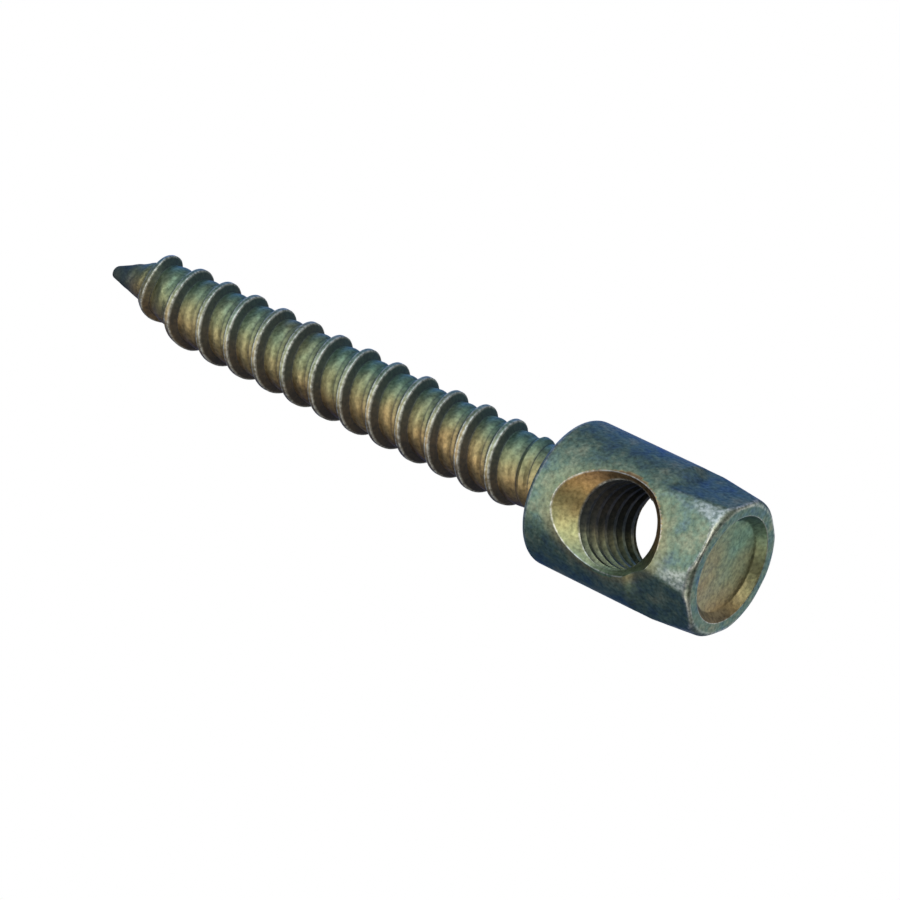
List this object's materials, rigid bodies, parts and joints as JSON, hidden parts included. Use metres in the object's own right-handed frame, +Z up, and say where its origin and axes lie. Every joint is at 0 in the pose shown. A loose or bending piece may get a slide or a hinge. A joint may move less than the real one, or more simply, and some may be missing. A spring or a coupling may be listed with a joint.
{
  "type": "rod hanger screw",
  "caption": "Side-mount rod hanger screw: coarse wood thread and blunt point, round barrel head with a countersunk tapped cross hole for a threaded rod, and a hexagon drive end.",
  "frame": {"origin": "centre of the end plane of the hexagon, on the surface that the screw stands on", "axes": "+Z up along the screw's axis, from the head to the point; the rod hole runs along Y and faces -Y"},
  "size_m": [0.0142, 0.0142, 0.0767],
  "materials": {
    "passivated_zinc": "zinc plate with a dark iridescent chromate, satin with fine mottling"
  },
  "bodies": {
    "root": {"hanger_screw": "passivated_zinc"}
  },
  "joints": []
}
